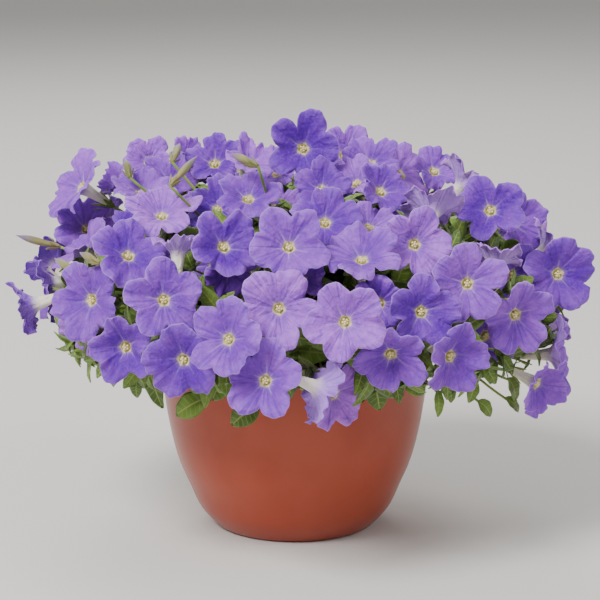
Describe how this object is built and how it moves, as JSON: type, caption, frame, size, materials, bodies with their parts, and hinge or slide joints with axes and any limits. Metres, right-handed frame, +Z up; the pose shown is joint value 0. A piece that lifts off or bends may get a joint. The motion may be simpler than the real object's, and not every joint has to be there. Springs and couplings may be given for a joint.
{
  "type": "potted spreading petunia",
  "caption": "Mounding petunia in full bloom, violet and lavender trumpet flowers over green foliage, in a smooth glazed terracotta-coloured planter.",
  "frame": {"origin": "centre of the pot's flat foot, on the surface that the pot stands on", "axes": "+Z up; -Y the front of the plant, the side that the picture shows; +X to the right seen from the front"},
  "size_m": [0.4439, 0.4029, 0.3254],
  "materials": {
    "glazed_pot": "smooth glossy glaze over terracotta-coloured clay",
    "potting_soil": "loose dark peat-based soil",
    "leaf_green": "soft, slightly hairy green leaf",
    "petal": "thin velvety petal, violet to lavender with darker veins"
  },
  "bodies": {
    "root": {"pot": "glazed_pot", "potting_soil": "potting_soil", "foliage": "leaf_green", "bloom_01": "petal", "bloom_02": "petal", "bloom_03": "petal", "bloom_04": "petal", "bloom_05": "petal", "bloom_06": "petal", "bloom_07": "petal", "bloom_08": "petal", "bloom_09": "petal", "bloom_10": "petal", "bloom_11": "petal", "bloom_12": "petal", "bloom_13": "petal", "bloom_14": "petal", "bloom_15": "petal", "bloom_16": "petal", "bloom_17": "petal", "bloom_18": "petal", "bloom_19": "petal", "bloom_20": "petal", "bloom_21": "petal", "bloom_22": "petal", "bloom_23": "petal", "bloom_24": "petal", "bloom_25": "petal", "bloom_26": "petal", "bloom_27": "petal", "bloom_28": "petal", "bloom_29": "petal", "bloom_30": "petal", "bloom_31": "petal", "bloom_32": "petal", "bloom_33": "petal", "bloom_34": "petal", "bloom_35": "petal", "bloom_36": "petal", "bloom_37": "petal", "bloom_38": "petal", "bloom_39": "petal", "bloom_40": "petal", "bloom_41": "petal", "spray_01": "petal", "spray_02": "petal", "spray_03": "petal", "spray_04": "petal", "spray_05": "petal", "spray_06": "petal", "spray_07": "petal", "spray_08": "petal", "spray_09": "petal", "spray_10": "petal", "spray_11": "petal", "spray_12": "petal", "spray_13": "petal", "spray_14": "petal"}
  },
  "joints": []
}
